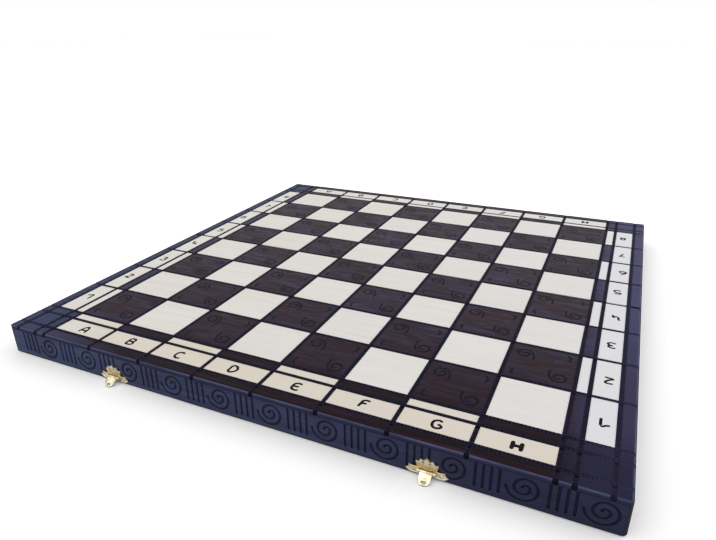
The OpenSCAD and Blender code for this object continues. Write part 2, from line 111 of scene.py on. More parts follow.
class Finish:
    """A procedural material, built node by node round one Principled shader."""

    def __init__(self, name, **sockets):
        self.material = bpy.data.materials.new(name)
        self.material.use_nodes = True
        self.tree = self.material.node_tree
        self.shader = self.tree.nodes["Principled BSDF"]
        for socket, value in sockets.items():
            self.shader.inputs[socket.replace("_", " ")].default_value = value
        self.coordinates = self.add("ShaderNodeTexCoord")
        self.place = self.coordinates.outputs["Object"]

    def add(self, kind, **settings):
        """A new node of that kind, with its settings."""
        node = self.tree.nodes.new(kind)
        for key, value in settings.items():
            setattr(node, key, value)
        return node

    def put(self, socket, value):
        """Links a node's output to the socket, or sets a plain value on it."""
        if isinstance(value, bpy.types.NodeSocket):
            self.tree.links.new(value, socket)
        else:
            socket.default_value = value

    def stretch(self, scale, shift=(0, 0, 0)):
        """The place, in metres, stretched so that a texture is short along the axes with a high scale."""
        node = self.add("ShaderNodeMapping")
        self.put(node.inputs["Vector"], self.place)
        node.inputs["Scale"].default_value = scale
        node.inputs["Location"].default_value = shift
        return node.outputs["Vector"]

    def noise(self, vector, scale=1.0, detail=4.0, roughness=0.5, distortion=0.0):
        """Random cloud between about 0.25 and 0.75, whose grains are smaller with a high scale."""
        node = self.add("ShaderNodeTexNoise")
        self.put(node.inputs["Vector"], vector)
        node.inputs["Scale"].default_value = scale
        node.inputs["Detail"].default_value = detail
        node.inputs["Roughness"].default_value = roughness
        node.inputs["Distortion"].default_value = distortion
        return node.outputs["Fac"]

    def axis(self, letter):
        """One coordinate of the place, in millimetres."""
        node = self.add("ShaderNodeSeparateXYZ")
        self.put(node.inputs["Vector"], self.place)
        return self.maths("MULTIPLY", node.outputs[letter], 1 / MM)

    def upward(self):
        """1 on a face that looks up, 0 on an upright one."""
        node = self.add("ShaderNodeSeparateXYZ")
        self.put(node.inputs["Vector"], self.coordinates.outputs["Normal"])
        return node.outputs["Z"]

    def maths(self, operation, a, b=0.0):
        """The result of one arithmetic operation on a and b."""
        node = self.add("ShaderNodeMath", operation=operation)
        self.put(node.inputs[0], a)
        self.put(node.inputs[1], b)
        return node.outputs["Value"]

    def between(self, value, low, high, to_low=0.0, to_high=1.0):
        """Goes smoothly from to_low to to_high as the value goes from low to high."""
        node = self.add("ShaderNodeMapRange", interpolation_type="SMOOTHSTEP")
        self.put(node.inputs["Value"], value)
        for key, number in (("From Min", low), ("From Max", high), ("To Min", to_low), ("To Max", to_high)):
            self.put(node.inputs[key], number)
        return node.outputs["Result"]

    def ramp(self, value, *stops):
        """The colour at the value, between stops of a position and a colour."""
        node = self.add("ShaderNodeValToRGB")
        self.put(node.inputs["Fac"], value)
        elements = node.color_ramp.elements
        while len(elements) < len(stops):
            elements.new(1.0)
        for element, (position, colour) in zip(elements, stops):
            element.position = position
            element.color = colour
        return node.outputs["Color"]

    def mix(self, share, a, b):
        """Colour a with that share of colour b in it."""
        node = self.add("ShaderNodeMix", data_type="RGBA")
        self.put(node.inputs[0], share)
        self.put(node.inputs[6], a)
        self.put(node.inputs[7], b)
        return node.outputs[2]

    def cell_tone(self, pitch, low, high):
        """A number from low to high that is the same all over one square of the board."""
        scaled = self.add("ShaderNodeVectorMath", operation="SCALE")
        self.put(scaled.inputs[0], self.place)
        scaled.inputs["Scale"].default_value = 1 / (pitch * MM)
        floor = self.add("ShaderNodeVectorMath", operation="FLOOR")
        self.put(floor.inputs[0], scaled.outputs["Vector"])
        white = self.add("ShaderNodeTexWhiteNoise", noise_dimensions="2D")
        self.put(white.inputs["Vector"], floor.outputs["Vector"])
        return self.between(white.outputs["Value"], 0.0, 1.0, low, high)

    def relief(self, height, depth):
        """Raises the surface by the height, where depth is what a height of 1 stands for, in millimetres."""
        node = self.add("ShaderNodeBump")
        node.inputs["Distance"].default_value = depth * MM
        self.put(node.inputs["Height"], height)
        self.put(self.shader.inputs["Normal"], node.outputs["Normal"])

    def colour(self, value):
        """Sets the colour of the surface."""
        self.put(self.shader.inputs["Base Color"], value)

    def gloss(self, value):
        """Sets how matt the surface is, from 0 to 1."""
        self.put(self.shader.inputs["Roughness"], value)


def distance_out(f):
    """How far a point lies from the middle, along x or y, whichever is more, in millimetres."""
    x = f.maths("ABSOLUTE", f.axis("X"))
    y = f.maths("ABSOLUTE", f.axis("Y"))
    return f.maths("MAXIMUM", x, y)


def stained_top():
    """The playing panel: violet-brown stain, grain along x, maroon in front, and painted bluish sheen at the
    sides.
    """
    f = Finish("stained_top", Specular_IOR_Level=0.05, Coat_Weight=0.01, Coat_Roughness=0.15)
    streak = f.noise(f.stretch((9, 330, 40)), detail=6, roughness=0.65, distortion=0.4)
    sheen_wave = f.noise(f.stretch((22, 230, 40)), detail=4, roughness=0.55, distortion=1.6)
    patch = f.noise(f.stretch((34, 60, 40)), detail=3, distortion=0.6)
    cloud = f.noise(f.place, scale=26, detail=3)
    x, y, height = (f.axis(letter) for letter in "XYZ")
    # Grain, with warm patches, violet clouds, painted pale-blue sheen in waves and a tone of its own in each
    # square
    grain = f.ramp(streak, (0.30, tone(26, 18, 24)), (0.47, tone(42, 31, 38)), (0.60, tone(54, 42, 50)),
                   (0.74, tone(78, 58, 64)))
    grain = f.mix(f.between(patch, 0.46, 0.62, 0.0, 0.55), grain, tone(56, 36, 33))
    grain = f.mix(f.between(cloud, 0.46, 0.66, 0.0, 0.5), grain, tone(54, 48, 72))
    grain = f.mix(f.between(sheen_wave, 0.48, 0.64, 0.0, 0.6), grain, tone(66, 61, 94))
    grain = f.mix(f.cell_tone(SQUARE, 0.0, 0.3), grain, tone(30, 23, 31))
    grain = f.mix(f.between(y, -SQUARE, -BAND_LINE, 0.0, 0.5), grain, tone(41, 22, 35))
    # Maroon along the front border, with painted bluish sheen over its left end
    in_front = f.between(y, -BAND_LINE + 14, -BAND_LINE - 4)
    maroon = f.ramp(streak, (0.30, tone(11, 6, 10)), (0.50, tone(25, 12, 20)), (0.62, tone(38, 18, 31)),
                    (0.76, tone(84, 42, 66)))
    maroon = f.mix(f.between(x, BLUE_SHEEN_STARTS, BLUE_SHEEN_FULL, 0.0, 0.85), maroon, tone(58, 58, 92))
    grain = f.mix(in_front, grain, maroon)
    # Side borders made violet-blue by painted sheen, paler further back and bluer on the left
    beside = f.between(f.maths("ABSOLUTE", x), BAND_LINE - 6, LABEL_LINE + 4, 0.0, 0.82)
    violet = f.mix(f.between(y, -BAND_LINE - 20, -BAND_LINE + 30), tone(38, 36, 62), tone(58, 54, 86))
    violet = f.mix(f.between(y, SIDE_SHEEN_GROWS, 0), violet, tone(70, 69, 108))
    blue = f.mix(f.between(x, 0, -BAND_LINE), violet, tone(50, 63, 92))
    grain = f.mix(beside, grain, blue)
    # The rounded arris: blue like the walls, with a painted pale highlight along its top, whose strength
    # varies with the clouds
    upward = f.upward()
    grain = f.mix(f.between(upward, 0.75, 0.35), grain, tone(44, 47, 74))
    painted_crest_highlight = f.maths("MULTIPLY", f.between(upward, 0.97, 0.84), f.between(upward, 0.4, 0.7))
    painted_crest_highlight = f.maths("MULTIPLY", painted_crest_highlight, f.between(cloud, 0.3, 0.6, 0.5, 1.0))
    grain = f.mix(painted_crest_highlight, grain, tone(82, 86, 116))
    # Dark on the grooves' beds and in the seam between panel and frame
    sunk = f.maths("MULTIPLY", f.between(height, TOP_Z - 0.4, TOP_Z - 0.6), f.between(upward, 0.9, 0.99))
    seam = f.between(f.maths("ABSOLUTE", f.maths("SUBTRACT", height, FRAME_TOP)), 0.35, 0.1)
    f.colour(f.mix(f.maths("MAXIMUM", sunk, seam), grain, tone(12, 10, 18)))
    f.gloss(f.between(sheen_wave, 0.35, 0.7, 0.5, 0.34))
    f.relief(f.maths("ADD", streak, sheen_wave), 0.08)
    return f.material


def stained_wall(name, along):
    """A rail: navy stain, with grain along the rail, painted shade in the carving, and raw wood inside the
    tray.
    """
    f = Finish(name, Specular_IOR_Level=0.08, Coat_Weight=0.02, Coat_Roughness=0.2)
    scale = (9, 90, 300) if along == "X" else (90, 9, 300)
    streak = f.noise(f.stretch(scale), detail=6, roughness=0.62, distortion=0.3)
    cloud = f.noise(f.place, scale=30, detail=3)
    x, y, height = (f.axis(letter) for letter in "XYZ")
    grain = f.ramp(streak, (0.28, tone(46, 52, 80)), (0.5, tone(60, 66, 97)), (0.72, tone(76, 82, 118)))
    # Bluer to the left, darker to the right, with violet clouds
    grain = f.mix(f.between(x, WALL_BLUER, -BORDER_LINE, 0.0, 0.5), grain, tone(66, 82, 118))
    grain = f.mix(f.between(x, WALL_DARKER, BORDER_LINE, 0.0, 0.75), grain, tone(38, 37, 62))
    grain = f.mix(f.between(cloud, 0.45, 0.68, 0.0, 0.4), grain, tone(54, 47, 74))
    # Painted shade in the carving, a dark seam, raw wood inside, but stain on the rails' faces at the fold
    out = distance_out(f)
    deep = f.between(out, HALF_L - 0.05, HALF_L - 0.6, 0.0, 0.75)
    inside = f.between(out, HALF_L - RAIL_T / 2, HALF_L - RAIL_T / 2 - 0.5)
    inside = f.maths("MULTIPLY", inside, f.between(f.maths("ABSOLUTE", y), FACE_Y + 0.2, FACE_Y + 0.5))
    seam = f.between(height, FRAME_TOP - 0.35, FRAME_TOP - 0.1)
    grain = f.mix(f.maths("MAXIMUM", deep, seam), grain, tone(20, 21, 38))
    raw = f.ramp(streak, (0.3, tone(168, 128, 84)), (0.7, tone(204, 168, 120)))
    f.colour(f.mix(inside, grain, raw))
    f.gloss(f.between(streak, 0.3, 0.75, 0.5, 0.34))
    f.relief(f.maths("ADD", streak, f.maths("MULTIPLY", cloud, 0.6)), 0.12)
    return f.material


def light_wood():
    """The light cells: pale close-grained wood, with painted warm light in front and painted cool sheen to
    the right.
    """
    f = Finish("light_wood", Specular_IOR_Level=0.2, Coat_Weight=0.05, Coat_Roughness=0.2)
    streak = f.noise(f.stretch((11, 420, 60)), detail=7, roughness=0.7, distortion=0.3)
    band = f.noise(f.stretch((4, 60, 30)), detail=3, roughness=0.5)
    x, y = f.axis("X"), f.axis("Y")
    grain = f.ramp(streak, (0.28, tone(224, 217, 207)), (0.48, tone(236, 231, 224)),
                   (0.7, tone(243, 239, 235)))
    grain = f.mix(f.between(band, 0.42, 0.68, 0.0, 0.35), grain, tone(230, 219, 202))
    grain = f.mix(f.cell_tone(SQUARE, 0.0, 0.25), grain, tone(222, 217, 210))
    # Painted sheen: paler and cooler towards the right
    grain = f.mix(f.between(x, -BAND_LINE, BAND_LINE, 0.0, 0.4), grain, tone(238, 237, 240))
    # Painted warm light on the front strip, but for its left end, and painted cool sheen on the right strip
    in_front = f.between(y, -BAND_LINE + 2, -BAND_LINE - 2)
    painted_warm_light = f.maths("MULTIPLY", in_front, f.between(x, WARM_LIGHT_STARTS, WARM_LIGHT_FULL, 0.05, 0.6))
    grain = f.mix(painted_warm_light, grain, tone(227, 213, 193))
    beside = f.between(x, BAND_LINE - 2, BAND_LINE + 2, 0.0, 0.7)
    f.colour(f.mix(beside, grain, tone(234, 234, 239)))
    f.gloss(f.between(streak, 0.3, 0.75, 0.5, 0.38))
    f.relief(streak, 0.05)
    return f.material


def burnt(name, side_sheen_share):
    """A rolled groove: almost black, with navy lips that are partly singed wood and partly painted glints,
    and painted paler sheen in the side strips, by the share side_sheen_share.
    """
    f = Finish(name, Specular_IOR_Level=0.04)
    char = f.noise(f.place, scale=700, detail=4)
    pit = f.ramp(char, (0.3, tone(6, 6, 13)), (0.7, tone(18, 17, 31)))
    # The lips' lighter navy is partly singed wood and partly painted glints
    lip = f.ramp(char, (0.3, tone(26, 24, 44)), (0.7, tone(54, 50, 82)))
    raised = f.between(f.axis("Z"), TOP_Z - 0.5, TOP_Z - 0.12, 0.0, 0.8)
    line = f.mix(raised, pit, lip)
    # Painted bluish sheen on the lines in the side strips
    beside = f.between(f.maths("ABSOLUTE", f.axis("X")), BAND_LINE + 2, BORDER_LINE + 3, 0.0, side_sheen_share)
    f.colour(f.mix(beside, line, tone(50, 46, 78)))
    f.gloss(f.between(char, 0.3, 0.7, 0.5, 0.36))
    f.relief(char, 0.06)
    return f.material


def scorched(name, dark, pale):
    """A line drawn with a hot tip."""
    f = Finish(name, Specular_IOR_Level=0.04)
    char = f.noise(f.place, scale=900, detail=4)
    f.colour(f.ramp(char, (0.35, dark), (0.7, pale)))
    f.gloss(f.between(char, 0.3, 0.7, 0.6, 0.4))
    f.relief(char, 0.05)
    return f.material


def brass():
    """Thin stamped brass plate: pale gold, softly brushed, with brown tarnish in patches."""
    f = Finish("brass_plate", Metallic=1.0)
    patch = f.noise(f.place, scale=260, detail=5, roughness=0.6)
    brushed = f.noise(f.stretch((3000, 500, 500)), detail=3)
    grain = f.ramp(patch, (0.3, tone(194, 168, 116)), (0.48, tone(227, 216, 186)),
                   (0.7, tone(246, 242, 228)))
    # Painted gold-brown shade on the foot of the fan
    height = f.axis("Z")
    starts, full_from, full_to, ends = GOLD_SHADE_HEIGHTS
    foot = f.maths("MULTIPLY", f.between(height, ends, full_to), f.between(height, starts, full_from))
    f.colour(f.mix(f.maths("MULTIPLY", foot, 0.6), grain, tone(204, 170, 88)))
    f.gloss(f.between(patch, 0.3, 0.7, 0.5, 0.34))
    f.relief(f.maths("ADD", f.maths("MULTIPLY", patch, 2.0), brushed), 0.05)
    return f.material


def steel():
    """Zinc-plated steel of the pins and screws."""
    f = Finish("steel", Metallic=1.0)
    patch = f.noise(f.place, scale=500, detail=4)
    f.colour(f.ramp(patch, (0.3, tone(128, 126, 122)), (0.7, tone(196, 196, 198))))
    f.gloss(f.between(patch, 0.3, 0.7, 0.45, 0.25))
    f.relief(patch, 0.03)
    return f.material


def raw_wood():
    """Unstained wood of the divider and the rack, with grain along x."""
    f = Finish("raw_wood", Specular_IOR_Level=0.3)
    streak = f.noise(f.stretch((7, 160, 240)), detail=7, roughness=0.65, distortion=0.5)
    fleck = f.noise(f.stretch((120, 1400, 1400)), detail=2)
    grain = f.ramp(streak, (0.28, tone(158, 116, 72)), (0.5, tone(196, 154, 104)),
                   (0.74, tone(220, 186, 138)))
    f.colour(f.mix(f.between(fleck, 0.56, 0.7, 0.0, 0.4), grain, tone(140, 98, 60)))
    f.gloss(f.between(streak, 0.3, 0.7, 0.66, 0.5))
    f.relief(f.maths("ADD", streak, f.maths("MULTIPLY", fleck, 0.5)), 0.08)
    return f.material


def felt():
    """Green felt: a matt mat of short fibres with a soft nap."""
    f = Finish("green_felt", Specular_IOR_Level=0.1, Sheen_Weight=0.35, Sheen_Roughness=0.5)
    f.shader.inputs["Sheen Tint"].default_value = tone(120, 190, 130)
    fibre = f.noise(f.place, scale=2600, detail=5, roughness=0.75)
    nap = f.noise(f.place, scale=60, detail=3)
    grain = f.ramp(fibre, (0.3, tone(14, 66, 38)), (0.55, tone(28, 96, 56)), (0.75, tone(60, 130, 84)))
    f.colour(f.mix(f.between(nap, 0.4, 0.7, 0.0, 0.35), grain, tone(20, 78, 46)))
    f.gloss(f.between(fibre, 0.3, 0.7, 0.95, 0.85))
    f.relief(fibre, 0.25)
    return f.material


TOP = stained_top()
WALL_X = stained_wall("stained_rail_x", "X")
WALL_Y = stained_wall("stained_rail_y", "Y")
LIGHT = light_wood()
BURNT_LONG = burnt("burnt_long_groove", 0.25)
BURNT_CROSS = burnt("burnt_cross_groove", 0.8)
LETTER = scorched("burnt_letter", tone(10, 7, 12), tone(32, 24, 30))
SCROLL = scorched("burnt_scroll", tone(12, 10, 19), tone(32, 29, 47))
BRASS = brass()
STEEL = steel()
RAW = raw_wood()
FELT = felt()


def finish_of(name):
    """The finish of a CAD node, from what it is."""
    if name.endswith("panel"):
        return TOP
    if name.endswith(("left_rail", "right_rail")):
        return WALL_Y
    if name.endswith("rail"):
        return WALL_X
    if name.endswith(("squares", "inlay")):
        return LIGHT
    if name.endswith(("divider", "rack")):
        return RAW
    if name.endswith(("pin", "screws")):
        return STEEL
    return BRASS


for name, node in nodes.items():
    node.data.materials.clear()
    node.data.materials.append(finish_of(name))


# Helpers for meshes
def piece(name, verts, faces, material, body, smooth=True):
    """A closed mesh from points in millimetres, which rides on the body."""
    mesh = bpy.data.meshes.new(name)
    mesh.from_pydata([Vector(v) * MM for v in verts], [], faces)
    mesh.materials.append(material)
    for polygon in mesh.polygons:
        polygon.use_smooth = smooth
    made = bpy.data.objects.new(name, mesh)
    bpy.context.scene.collection.objects.link(made)
    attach(made, body)
    return made


def loft(rings, verts, faces):
    """Adds a closed tube through rings of equal length, with a flat cap on each end."""
    start, n = len(verts), len(rings[0])
    for ring in rings:
        verts.extend(ring)
    for i in range(len(rings) - 1):
        a, b = start + i * n, start + (i + 1) * n
        faces.extend((a + k, a + (k + 1) % n, b + (k + 1) % n, b + k) for k in range(n))
    last = start + (len(rings) - 1) * n
    faces.append(tuple(start + k for k in reversed(range(n))))
    faces.append(tuple(last + k for k in range(n)))


# Grooves rolled with a hot toothed wheel
TOOTH = 2.8          # distance between two tooth marks
PIT_HALF = 1.92      # half width of the burnt line between two teeth
MARK_HALF = 2.65     # half width where a tooth has bitten the groove's edges
PROUD = 0.03         # how far the scorched lip stands over the cells
PIT_DEEP = 0.62
MARK_DEEP = 0.26
LINING_PLAY = 0.04   # the lining's foot is this much narrower than its groove, on each side
LINING_LIFT = 0.02   # and this much over the groove's bed
BED_HALF = GROOVE_W / 2 - LINING_PLAY
BED_DEEP = INLAY_T - LINING_LIFT
# Places along a tooth mark, as a share of TOOTH, and whether the tooth has bitten there
BITE = ((-0.36, False), (-0.22, True), (0.2, True), (0.36, False))
# How much a bite's half width and depth vary, from and to
MARK_VARIES = (-0.25, 0.15)
MARK_DEEPER = (0.0, 0.1)
SHOULDER = 0.62      # where the groove's side ends, as a share of its half width
SHOULDER_DEEP = 0.8  # how deep it is there, as a share of the depth
CROSS_SINK = 0.015   # a crossing line lies this much lower, so that no two faces meet in one plane
CROSSING = 2.6       # no tooth marks this close to a crossing line
FLAT_L = HALF_L - ARRIS_R    # where the arris begins
ARC_L = math.pi / 2 * ARRIS_R
OVER_L = ARC_L + 1.2         # how far a line runs on, over the arris and down the wall
OVER_STEP = 0.4
OVER_NARROWING = 0.3         # share of the width that is lost down the wall
OVER_COVER = 0.12            # how far a line's middle stays over its groove's bed on the arris
OVER_PROUD = 0.02            # how far the line's end stands over the wall
GROOVE_SEED = 11


def skin(s, up):
    """Distance out and height of the point that is up over the box's skin, s along it from the middle."""
    turn = (abs(s) - FLAT_L) / ARRIS_R
    sign = math.copysign(1, s)
    if turn <= 0:
        return s, TOP_Z + up
    if turn < math.pi / 2:
        reach = ARRIS_R + up
        return sign * (FLAT_L + reach * math.sin(turn)), TOP_Z - ARRIS_R + reach * math.cos(turn)
    return sign * (HALF_L + up), TOP_Z - ARRIS_R - (abs(s) - FLAT_L - ARC_L)


def groove_ring(point, half, deep):
    """The groove's section: lip, sloping side, middle, the other side, and the flat bed below."""
    side, side_deep = SHOULDER * half, SHOULDER_DEEP * deep
    shape = ((-half, PROUD), (-side, -side_deep), (0, -deep), (side, -side_deep), (half, PROUD),
             (BED_HALF, -BED_DEEP), (-BED_HALF, -BED_DEEP))
    return [point(across, up) for across, up in shape]


def over_the_arris():
    """Stations beyond the flat: how much further, half width, and a depth that runs out to nothing."""
    stations = []
    for i in range(1, round(OVER_L / OVER_STEP) + 1):
        further = i * OVER_STEP
        turn = min(further / ARRIS_R, math.pi / 2)
        room = INLAY_T - ARRIS_R * (1 - math.cos(turn))
        narrowing = 1 - OVER_NARROWING * max(0.0, further - ARC_L) / (OVER_L - ARC_L)
        deep = max(min(PIT_DEEP, room - OVER_COVER), -OVER_PROUD)
        stations.append((further, PIT_HALF * narrowing, deep))
    return stations


def rolled_line(start, end, crossings, place, sink, verts, faces):
    """One burnt line from start to end, over the arris at a far end. place(s, across, up) gives a point."""
    marks = []
    count = int((end - start) / TOOTH)
    for i in range(count):
        middle = start + (i + 0.5) * (end - start) / count
        if all(abs(middle - c) > CROSSING for c in crossings):
            marks.append(middle)
    stations = [(start, PIT_HALF, PIT_DEEP)]
    for middle in marks:
        half = MARK_HALF + random.uniform(*MARK_VARIES)
        deep = MARK_DEEP + random.uniform(*MARK_DEEPER)
        for share, bitten in BITE:
            stations.append((middle + share * TOOTH, *((half, deep) if bitten else (PIT_HALF, PIT_DEEP))))
    stations.append((end, PIT_HALF, PIT_DEEP))
    beyond = over_the_arris()
    stations += [(end + further, half, deep) for further, half, deep in beyond]
    if start < 0:
        stations = [(start - further, half, deep) for further, half, deep in reversed(beyond)] + stations
    rings = []
    for s, half, deep in stations:
        rings.append(groove_ring(lambda across, up, s=s: place(s, across, up - sink), half, deep))
    loft(rings, verts, faces)


def grooves(side_name, side):
    """The burnt lining of one half's grooves. The long ones run away from the fold."""
    random.seed(GROOVE_SEED)
    body = f"{side_name}_half"
    across_x = [0.0] + [s * line for line in OUTER_LINES for s in (-1, 1)]

    def along_y(x):
        def place(s, across, up):
            out, height = skin(s, up)
            return x + across, side * out, height
        return place

    def along_x(y):
        def place(s, across, up):
            out, height = skin(s, up)
            return out, side * (y + across), height
        return place

    verts, faces = [], []
    for x in across_x:
        rolled_line(FACE_Y, FLAT_L, OUTER_LINES, along_y(x), 0.0, verts, faces)
    piece(f"{side_name}_long_grooves", verts, faces, BURNT_LONG, body, smooth=False)
    verts, faces = [], []
    for y in OUTER_LINES:
        rolled_line(-FLAT_L, FLAT_L, across_x, along_x(y), CROSS_SINK, verts, faces)
    piece(f"{side_name}_cross_grooves", verts, faces, BURNT_CROSS, body, smooth=False)


for side_name, side in SIDES:
    grooves(side_name, side)


# Strokes drawn with a hot tip
def smooth_path(points, step=0.5):
    """A curve through the points, as close points in order."""
    ends = [points[0], *points, points[-1]]
    path = []
    for a, b, c, d in zip(ends, ends[1:], ends[2:], ends[3:]):
        count = max(2, round(math.dist(b, c) / step))
        for i in range(count):
            t = i / count
            path.append(tuple(
                0.5 * (2 * q + (r - p) * t + (2 * p - 5 * q + 4 * r - s) * t * t
                       + (3 * q - p - 3 * r + s) * t ** 3)
                for p, q, r, s in zip(a, b, c, d)))
    path.append(tuple(points[-1]))
    return path


SINK = 0.15          # how far the foot of a stroke lies under the surface
TIP = 0.12           # width of a stroke's very end, as a share of its width
UNSTEADY = (0.9, 1.08)    # the hand's width varies between these shares
BROW = 0.6           # where a stroke's round back begins, as a share of its half width
BROW_RISE = 0.8      # how high it is there, as a share of its rise


def stroke(points, half, rise, place, verts, faces):
    """A low rounded line along the points, with round ends. place(x, y, up) gives a point on the object."""
    path = smooth_path(points)
    lengths = [0.0]
    for a, b in zip(path, path[1:]):
        lengths.append(lengths[-1] + math.dist(a, b))
    whole = lengths[-1]
    brow = BROW_RISE * rise
    section = ((-1, -SINK), (-1, 0.0), (-BROW, brow), (0, rise), (BROW, brow), (1, 0.0), (1, -SINK))
    rings = []
    for i, (x, y) in enumerate(path):
        ahead, behind = path[min(i + 1, len(path) - 1)], path[max(i - 1, 0)]
        run = math.hypot(ahead[0] - behind[0], ahead[1] - behind[1]) or 1.0
        nx, ny = -(ahead[1] - behind[1]) / run, (ahead[0] - behind[0]) / run
        edge = min(lengths[i], whole - lengths[i])
        full = math.sqrt(max(0.0, 1 - max(0.0, 1 - edge / half) ** 2))
        w = half * max(full, TIP) * random.uniform(*UNSTEADY)
        rings.append([place(x + share * w * nx, y + share * w * ny, up) for share, up in section])
    loft(rings, verts, faces)


# The strokes of each letter and number, through points in millimetres from its middle
GLYPHS = {
    "A": (((-3.6, -4.6), (-2.8, 1.2), (-0.9, 4.5), (1.1, 4.5), (2.8, 1.2), (3.6, -4.6)),
          ((-3.0, -1.2), (3.1, -1.0))),
    "B": (((-3.0, 4.6), (-3.0, -4.6)), ((-3.0, 4.6), (1.5, 4.5), (2.8, 2.5), (1.2, 0.6), (-2.8, 0.2)),
          ((-2.8, 0.2), (2.0, 0.0), (3.6, -2.2), (2.0, -4.3), (-3.0, -4.6))),
    "C": (((3.2, 3.4), (0.6, 4.6), (-2.6, 3.2), (-3.5, 0.0), (-2.4, -3.4), (0.8, -4.6), (3.4, -3.5)),),
    "D": (((-3.0, 4.6), (-3.0, -4.6)),
          ((-3.0, 4.6), (1.0, 4.3), (3.5, 1.4), (3.4, -1.6), (1.0, -4.3), (-3.0, -4.6))),
    "E": (((3.2, 3.8), (0.0, 4.6), (-3.0, 3.1), (-3.5, 0.0), (-3.0, -3.1), (0.0, -4.6), (3.2, -3.8)),
          ((-3.3, 0.0), (2.2, 0.2))),
    "F": (((3.6, 4.2), (0.2, 4.6), (-2.0, 3.2), (-2.6, 0.0), (-3.2, -4.6)), ((-2.6, 0.2), (2.0, 0.6))),
    "G": (((3.2, 3.4), (0.4, 4.6), (-2.8, 3.0), (-3.6, -0.4), (-2.2, -3.9), (1.0, -4.6), (3.4, -2.9),
           (3.3, -0.4)),
          ((3.3, -0.4), (0.2, -0.4))),
    "H": (((-3.0, 4.6), (-3.2, -4.6)), ((3.2, 4.6), (3.0, -4.6)), ((-3.0, -0.1), (3.1, 0.2))),
    "1": (((2.2, 4.4), (2.2, -5.0)), ((2.2, 4.4), (0.8, 5.0), (-1.2, 3.4), (-4.4, 2.2))),
    "2": (((-3.6, 4.2), (-1.0, 4.9), (2.2, 4.2), (1.6, 1.6), (-1.4, -1.2), (-4.2, -2.8)),
          ((-4.2, -2.8), (0.0, -3.6), (3.2, -4.0))),
    "3": (((-3.0, 3.9), (0.0, 4.8), (2.8, 3.2), (1.8, 0.9), (-1.0, 0.3)),
          ((-1.0, 0.3), (2.2, 0.0), (3.4, -2.5), (1.0, -4.7), (-3.2, -3.8))),
    "4": (((2.6, -4.8), (2.2, 1.0)), ((2.4, -1.6), (-0.4, -2.2), (-2.6, -0.4), (-2.8, 3.6), (-4.4, 4.6)),
          ((2.4, 0.6), (0.2, -0.6))),
    "5": (((3.2, 4.6), (-2.6, 4.6)), ((-2.6, 4.6), (-3.0, 1.0)),
          ((-3.0, 1.0), (0.4, 1.5), (3.2, -0.6), (2.8, -3.6), (0.0, -4.7), (-3.2, -3.8))),
    "6": (((2.6, 4.5), (-1.0, 3.0), (-3.2, -0.6), (-2.8, -3.6), (0.0, -4.7), (2.9, -3.4), (2.8, -1.0),
           (0.2, 0.2), (-2.8, -1.4)),),
    "7": (((-3.4, 4.6), (3.2, 4.6)), ((3.2, 4.6), (0.6, 0.4), (-1.0, -4.8))),
    "8": (((2.6, 4.2), (2.2, 0.0), (2.6, -4.4)), ((-2.6, 4.0), (-2.2, 0.0), (-2.6, -4.2)),
          ((-2.4, 3.0), (0.0, 4.4), (2.4, 3.0)), ((-2.4, 0.0), (2.4, 0.4)),
          ((-2.4, -2.6), (0.0, -3.2), (2.4, -2.4))),
}
NUMBER_HALF = 1.1
LETTER_HALF = 1.15
H_HALF = 1.55
LETTER_RISE = 0.1
LETTER_SEED = 23
# How far each one stands off the middle of its cell, along x and y, as drawn by hand
STRAYS = {
    "A": (0.9, -1.3), "B": (-0.2, -0.3), "C": (-1.9, -1.0), "D": (-3.3, 0.0),
    "E": (0.5, -0.7), "F": (1.1, 0.5), "G": (1.4, -0.2), "H": (0.5, -0.6),
    "1": (1.1, -1.8), "2": (0.9, -1.4), "3": (0.5, -0.3), "4": (0.7, -1.2),
    "5": (0.1, 2.2), "6": (2.8, 0.0), "7": (0.0, -1.3), "8": (-1.2, 2.4),
}
LABEL_MIDDLE = LABEL_LINE + GROOVE_W / 2 + LABEL_W / 2
FILES = "ABCDEFGH"


def glyph(char, x, y, turned, astray, verts, faces):
    """Draws one letter or number near x, y. A turned one reads from the far side. astray is 1 or -1."""
    sign = -1 if turned else 1
    x += astray * STRAYS[char][0]
    y += astray * STRAYS[char][1]
    half = H_HALF if char == "H" else LETTER_HALF if char in FILES else NUMBER_HALF
    for points in GLYPHS[char]:
        stroke(points, half, LETTER_RISE,
               lambda u, v, up: (x + sign * u, y + sign * v, TOP_Z + up), verts, faces)


def middle_of(index):
    """Middle of the playing square with that index, from -4 to 3."""
    return (index + 0.5) * SQUARE


def labels(side_name, side):
    """The letters along one half's outer edge and the numbers on both of its sides."""
    random.seed(LETTER_SEED)
    verts, faces = [], []
    for i, char in enumerate(FILES):
        glyph(char, middle_of(i - RANKS), side * LABEL_MIDDLE, side > 0, -side, verts, faces)
    for i in range(RANKS):
        index = i if side > 0 else i - RANKS
        number = str(index + RANKS + 1)
        glyph(number, -LABEL_MIDDLE, middle_of(index), False, -1, verts, faces)
        glyph(number, LABEL_MIDDLE, middle_of(index), True, 1, verts, faces)
    piece(f"{side_name}_labels", verts, faces, LETTER, f"{side_name}_half")


# A snail with its tail, in the top left corner of a square, and a comma in the bottom left one
SNAIL = ((7.0, -9.5), (7.4, -4.5), (6.4, 0.5), (3.5, 5.0), (-1.5, 6.2), (-5.8, 3.4), (-6.2, -1.6),
         (-2.6, -5.0), (1.8, -3.9), (3.0, 0.0), (0.8, 2.2), (-1.8, 0.8))
COMMA = ((0.6, 5.0), (-1.0, 2.2), (-0.8, -1.4), (1.4, -4.6))
SCROLLS = ((SNAIL, -15.0, 14.0), (COMMA, -20.5, -18.5))
SCROLL_HALF = 1.1
SCROLL_RISE = 0.12
SCROLL_SEED = 37


